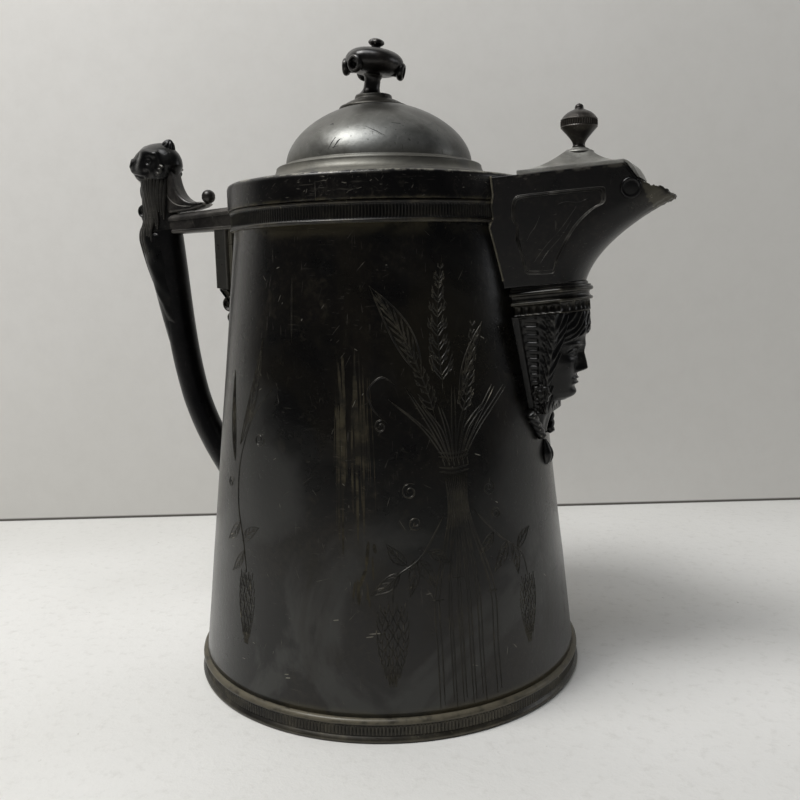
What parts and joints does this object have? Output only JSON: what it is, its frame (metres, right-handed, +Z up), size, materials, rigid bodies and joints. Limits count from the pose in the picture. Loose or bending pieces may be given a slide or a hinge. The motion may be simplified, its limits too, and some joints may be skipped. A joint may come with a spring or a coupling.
{
  "type": "lidded serving pot",
  "caption": "Tall tapering metal serving pot with hinged dome lid, covered spout on a mask, foot ring and cast side handle.",
  "frame": {"origin": "centre of the ring that the pot rests on", "axes": "+Z up along the pot's axis, +X towards the spout, -X towards the handle"},
  "size_m": [0.2848, 0.1908, 0.3012],
  "materials": {
    "dark_plate": "heavily tarnished silver plate, satin gloss, clouded",
    "pale_plate": "worn pewter grey, soft sheen",
    "cast_dark": "cast white metal with dark tarnish in the hollows",
    "cast_grey": "cast white metal, worn grey on the high parts",
    "inner_plate": "dull tinned inside",
    "pin_metal": "dull drawn wire and screw stock"
  },
  "bodies": {
    "pot": {"foot_ring": "dark_plate", "bottom_plate": "inner_plate", "body_shell": "dark_plate", "liner": "inner_plate", "port_duct": "inner_plate", "reeded_band": "dark_plate", "rim_collar": "dark_plate", "shoulder_plate": "cast_grey", "mouth_ring": "inner_plate", "lid_hinge_base": "cast_grey", "lid_hinge_pin": "pin_metal", "spout_shell": "dark_plate", "spout_lip": "pale_plate", "lip_bosses": "dark_plate", "spout_bridge": "pale_plate", "flap_hinge_base": "cast_grey", "flap_hinge_pin": "pin_metal", "cornice": "cast_grey", "fluted_band": "cast_grey", "mask_block": "cast_dark", "mask_face": "cast_grey", "ear_rosettes": "cast_grey", "side_lappets": "cast_dark", "pendant_drop": "cast_grey", "mask_neck": "cast_grey", "handle_arm": "cast_grey", "bracket_post": "cast_grey", "bracket_web": "cast_dark", "bracket_scroll": "cast_dark", "handle_grip": "cast_dark", "grip_pad": "cast_dark", "leaf_wrap": "cast_dark", "leaf_hook": "cast_dark", "figure_neck": "cast_grey", "figure_head": "cast_grey", "figure_crest": "cast_dark", "figure_beard": "cast_grey", "neck_scroll": "cast_grey", "scroll_ball": "cast_grey"},
    "lid": {"lid_dome": "pale_plate", "lid_plug": "inner_plate", "lid_hinge_leaf": "pale_plate", "finial_saucer": "pale_plate", "finial_stem": "cast_dark", "finial_bulb": "cast_dark", "finial_side_knobs": "cast_dark", "finial_top_knob": "cast_grey", "finial_stud": "pin_metal", "finial_nut": "pin_metal"},
    "flap": {"spout_flap": "pale_plate", "flap_apron": "pale_plate", "flap_knuckle": "pale_plate", "urn_base": "pale_plate", "urn_finial": "cast_dark", "urn_stud": "pin_metal"}
  },
  "joints": [
    {"name": "lid_hinge", "type": "hinge", "parent": "pot", "child": "lid", "pos_m": [-0.0615, 0, 0.2364], "axis": [0, -1, 0], "range_deg": [0, 90]},
    {"name": "spout_flap_hinge", "type": "hinge", "parent": "pot", "child": "flap", "pos_m": [0.0753, 0, 0.23082], "axis": [0, -1, 0], "range_deg": [0, 55]}
  ]
}
